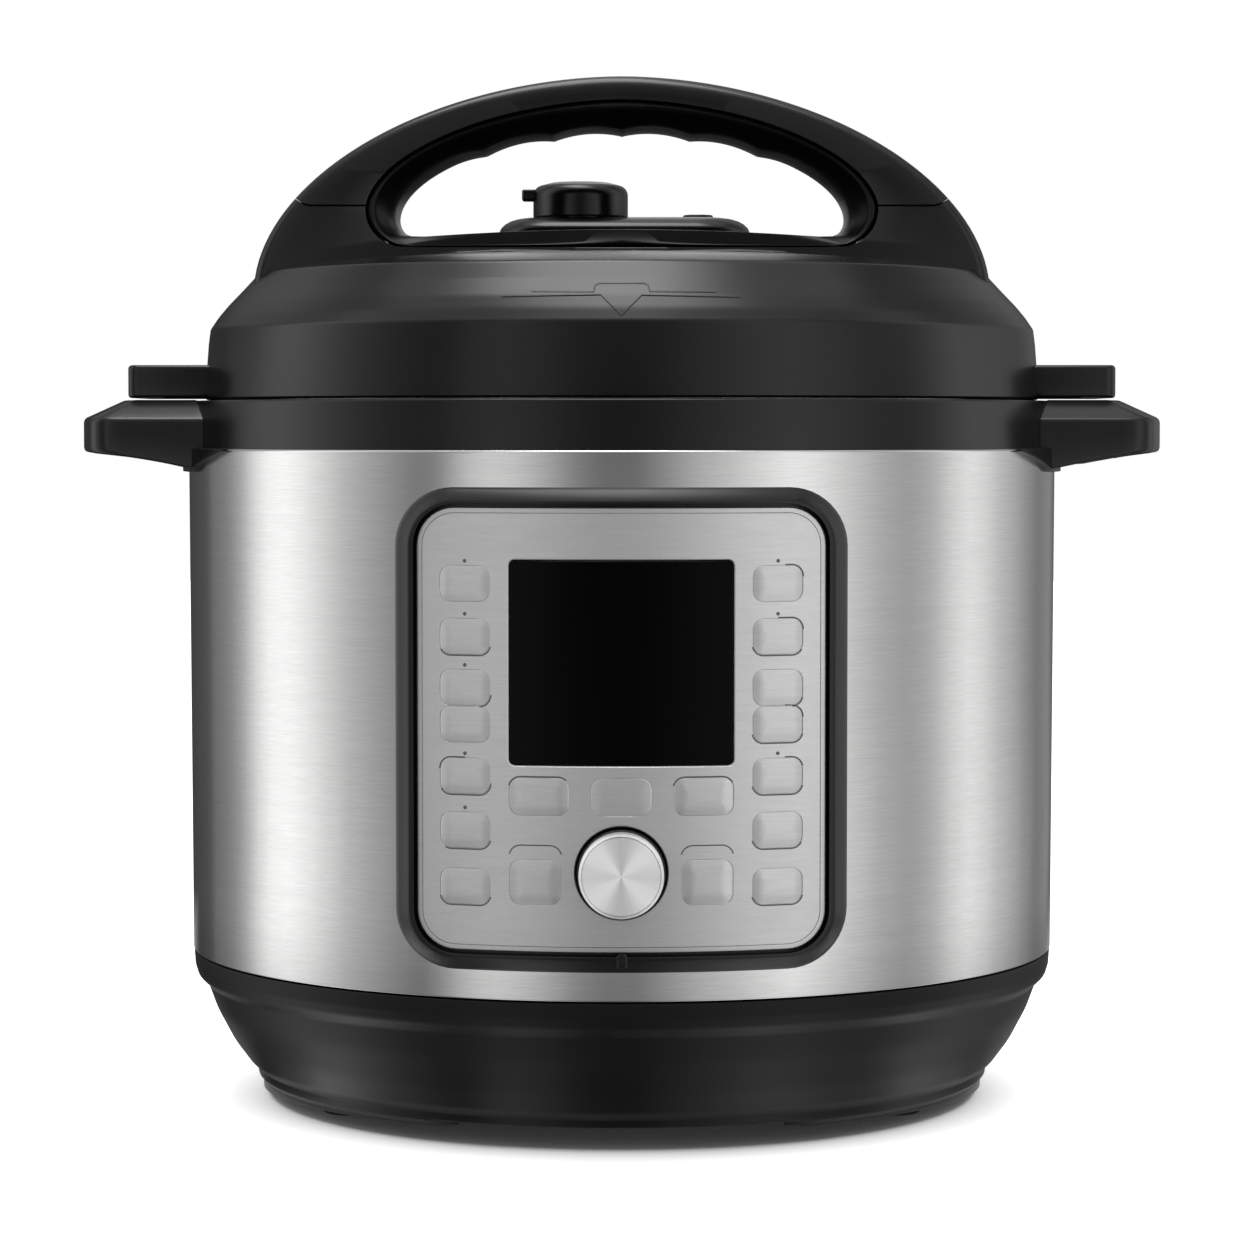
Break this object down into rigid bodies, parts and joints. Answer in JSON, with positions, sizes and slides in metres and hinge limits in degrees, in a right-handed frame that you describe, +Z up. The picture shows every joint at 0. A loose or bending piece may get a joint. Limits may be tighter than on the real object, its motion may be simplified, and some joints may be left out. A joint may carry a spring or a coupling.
{
  "type": "electric pressure cooker",
  "caption": "Electric pressure cooker: steel drum on a black base, curved key panel with display and dial, twist-on domed lid with arch handle, steam valve and removable pot.",
  "frame": {"origin": "on the floor plane under the middle of the object's plan box, which is the drum's axis", "axes": "+Z up along the drum's axis; the control panel faces -Y; the side handles lie along X"},
  "size_m": [0.34, 0.295, 0.3184],
  "materials": {
    "black_plastic": "satin moulded black plastic with a fine grain",
    "dark_plastic": "satin moulded plastic, darker and smoother than the shells",
    "drum_steel": "stainless steel brushed round the drum",
    "inner_steel": "satin stainless steel",
    "panel_silver": "satin silver film over the key plate",
    "dial_metal": "spun face with a bright chamfer",
    "bare_aluminium": "bare cast and pressed aluminium",
    "window_black": "glossy black display window",
    "board_green": "circuit board",
    "cup_clear": "pale grey translucent plastic",
    "foot_rubber": "black rubber",
    "white_silicone": "milky silicone"
  },
  "bodies": {
    "base": {"base_shell": "black_plastic", "foot_front_left": "foot_rubber", "foot_rear_left": "foot_rubber", "foot_front_right": "foot_rubber", "foot_rear_right": "foot_rubber", "outer_drum": "drum_steel", "collar": "black_plastic", "left_handle": "black_plastic", "right_handle": "black_plastic", "locking_ring": "inner_steel", "outer_pot": "bare_aluminium", "heating_plate": "bare_aluminium", "sensor_spring": "inner_steel", "pressure_switch": "dark_plastic", "power_board": "board_green", "control_board": "board_green", "panel_frame": "dark_plastic", "faceplate": "panel_silver", "display_window": "window_black", "display_module": "dark_plastic", "encoder_body": "inner_steel", "power_inlet": "dark_plastic", "cup_rail": "black_plastic"},
    "pot": {"inner_pot": "inner_steel"},
    "seal": {"sealing_ring": "white_silicone"},
    "lid": {"lid_cover": "black_plastic", "handle_base": "black_plastic", "handle_cap": "black_plastic", "handle_grip": "dark_plastic", "lid_liner": "inner_steel", "ring_rack": "inner_steel", "valve_pipe": "inner_steel", "anti_block_shield": "inner_steel", "lid_bolt": "inner_steel"},
    "valve": {"steam_valve": "black_plastic"},
    "float": {"float_pin": "dark_plastic", "float_seal": "white_silicone"},
    "sensor": {"sensor_cap": "bare_aluminium"},
    "cup": {"condensation_cup": "cup_clear"},
    "dial_core": {"encoder_shaft": "inner_steel"},
    "dial": {"dial": "dial_metal"},
    "key_left_1_body": {"key_left_1": "panel_silver"},
    "key_left_2_body": {"key_left_2": "panel_silver"},
    "key_left_3_body": {"key_left_3": "panel_silver"},
    "key_left_4_body": {"key_left_4": "panel_silver"},
    "key_left_5_body": {"key_left_5": "panel_silver"},
    "key_left_6_body": {"key_left_6": "panel_silver"},
    "key_left_7_body": {"key_left_7": "panel_silver"},
    "key_start_left_body": {"key_start_left": "panel_silver"},
    "key_right_1_body": {"key_right_1": "panel_silver"},
    "key_right_2_body": {"key_right_2": "panel_silver"},
    "key_right_3_body": {"key_right_3": "panel_silver"},
    "key_right_4_body": {"key_right_4": "panel_silver"},
    "key_right_5_body": {"key_right_5": "panel_silver"},
    "key_right_6_body": {"key_right_6": "panel_silver"},
    "key_right_7_body": {"key_right_7": "panel_silver"},
    "key_start_right_body": {"key_start_right": "panel_silver"},
    "key_middle_1_body": {"key_middle_1": "panel_silver"},
    "key_middle_2_body": {"key_middle_2": "panel_silver"},
    "key_middle_3_body": {"key_middle_3": "panel_silver"}
  },
  "joints": [
    {"name": "pot_lift", "type": "slide", "parent": "base", "child": "pot", "axis": [0, 0, 1], "range_m": [0, 0.2]},
    {"name": "lid_lift", "type": "slide", "parent": "pot", "child": "seal", "axis": [0, 0, 1], "range_m": [0, 0.25]},
    {"name": "lid_turn", "type": "hinge", "parent": "seal", "child": "lid", "pos_m": [0, 0, 0.2], "axis": [0, 0, 1], "range_deg": [-30, 0]},
    {"name": "valve_turn", "type": "hinge", "parent": "lid", "child": "valve", "pos_m": [-0.0137, 0.0575, 0.28], "axis": [0, 0, 1], "range_deg": [0, 45]},
    {"name": "float_rise", "type": "slide", "parent": "lid", "child": "float", "axis": [0, 0, 1], "range_m": [0, 0.0045]},
    {"name": "sensor_press", "type": "slide", "parent": "base", "child": "sensor", "axis": [0, 0, 1], "range_m": [-0.003, 0], "stiffness_N_per_m": 900, "deforming": ["sensor_spring"]},
    {"name": "cup_slide", "type": "slide", "parent": "base", "child": "cup", "axis": [0, 1, 0], "range_m": [0, 0.06]},
    {"name": "dial_press", "type": "slide", "parent": "base", "child": "dial_core", "axis": [0, 1, 0], "range_m": [0, 0.0008], "stiffness_N_per_m": 3000},
    {"name": "dial_turn", "type": "hinge", "parent": "dial_core", "child": "dial", "pos_m": [0, -0.14, 0.0844], "axis": [0, -1, 0], "continuous": true},
    {"name": "press_left_1", "type": "slide", "parent": "base", "child": "key_left_1_body", "axis": [0.3202, 0.9473, 0], "range_m": [0, 0.0005], "stiffness_N_per_m": 1500},
    {"name": "press_left_2", "type": "slide", "parent": "base", "child": "key_left_2_body", "axis": [0.3202, 0.9473, 0], "range_m": [0, 0.0005], "stiffness_N_per_m": 1500},
    {"name": "press_left_3", "type": "slide", "parent": "base", "child": "key_left_3_body", "axis": [0.3202, 0.9473, 0], "range_m": [0, 0.0005], "stiffness_N_per_m": 1500},
    {"name": "press_left_4", "type": "slide", "parent": "base", "child": "key_left_4_body", "axis": [0.3202, 0.9473, 0], "range_m": [0, 0.0005], "stiffness_N_per_m": 1500},
    {"name": "press_left_5", "type": "slide", "parent": "base", "child": "key_left_5_body", "axis": [0.3202, 0.9473, 0], "range_m": [0, 0.0005], "stiffness_N_per_m": 1500},
    {"name": "press_left_6", "type": "slide", "parent": "base", "child": "key_left_6_body", "axis": [0.3202, 0.9473, 0], "range_m": [0, 0.0005], "stiffness_N_per_m": 1500},
    {"name": "press_left_7", "type": "slide", "parent": "base", "child": "key_left_7_body", "axis": [0.3202, 0.9473, 0], "range_m": [0, 0.0005], "stiffness_N_per_m": 1500},
    {"name": "press_start_left", "type": "slide", "parent": "base", "child": "key_start_left_body", "axis": [0.1758, 0.9844, 0], "range_m": [0, 0.0005], "stiffness_N_per_m": 1500},
    {"name": "press_right_1", "type": "slide", "parent": "base", "child": "key_right_1_body", "axis": [-0.3202, 0.9473, 0], "range_m": [0, 0.0005], "stiffness_N_per_m": 1500},
    {"name": "press_right_2", "type": "slide", "parent": "base", "child": "key_right_2_body", "axis": [-0.3202, 0.9473, 0], "range_m": [0, 0.0005], "stiffness_N_per_m": 1500},
    {"name": "press_right_3", "type": "slide", "parent": "base", "child": "key_right_3_body", "axis": [-0.3202, 0.9473, 0], "range_m": [0, 0.0005], "stiffness_N_per_m": 1500},
    {"name": "press_right_4", "type": "slide", "parent": "base", "child": "key_right_4_body", "axis": [-0.3202, 0.9473, 0], "range_m": [0, 0.0005], "stiffness_N_per_m": 1500},
    {"name": "press_right_5", "type": "slide", "parent": "base", "child": "key_right_5_body", "axis": [-0.3202, 0.9473, 0], "range_m": [0, 0.0005], "stiffness_N_per_m": 1500},
    {"name": "press_right_6", "type": "slide", "parent": "base", "child": "key_right_6_body", "axis": [-0.3202, 0.9473, 0], "range_m": [0, 0.0005], "stiffness_N_per_m": 1500},
    {"name": "press_right_7", "type": "slide", "parent": "base", "child": "key_right_7_body", "axis": [-0.3202, 0.9473, 0], "range_m": [0, 0.0005], "stiffness_N_per_m": 1500},
    {"name": "press_start_right", "type": "slide", "parent": "base", "child": "key_start_right_body", "axis": [-0.1758, 0.9844, 0], "range_m": [0, 0.0005], "stiffness_N_per_m": 1500},
    {"name": "press_middle_1", "type": "slide", "parent": "base", "child": "key_middle_1_body", "axis": [0.1682, 0.9857, 0], "range_m": [0, 0.0005], "stiffness_N_per_m": 1500},
    {"name": "press_middle_2", "type": "slide", "parent": "base", "child": "key_middle_2_body", "axis": [0, 1, 0], "range_m": [0, 0.0005], "stiffness_N_per_m": 1500},
    {"name": "press_middle_3", "type": "slide", "parent": "base", "child": "key_middle_3_body", "axis": [-0.1682, 0.9857, 0], "range_m": [0, 0.0005], "stiffness_N_per_m": 1500}
  ]
}
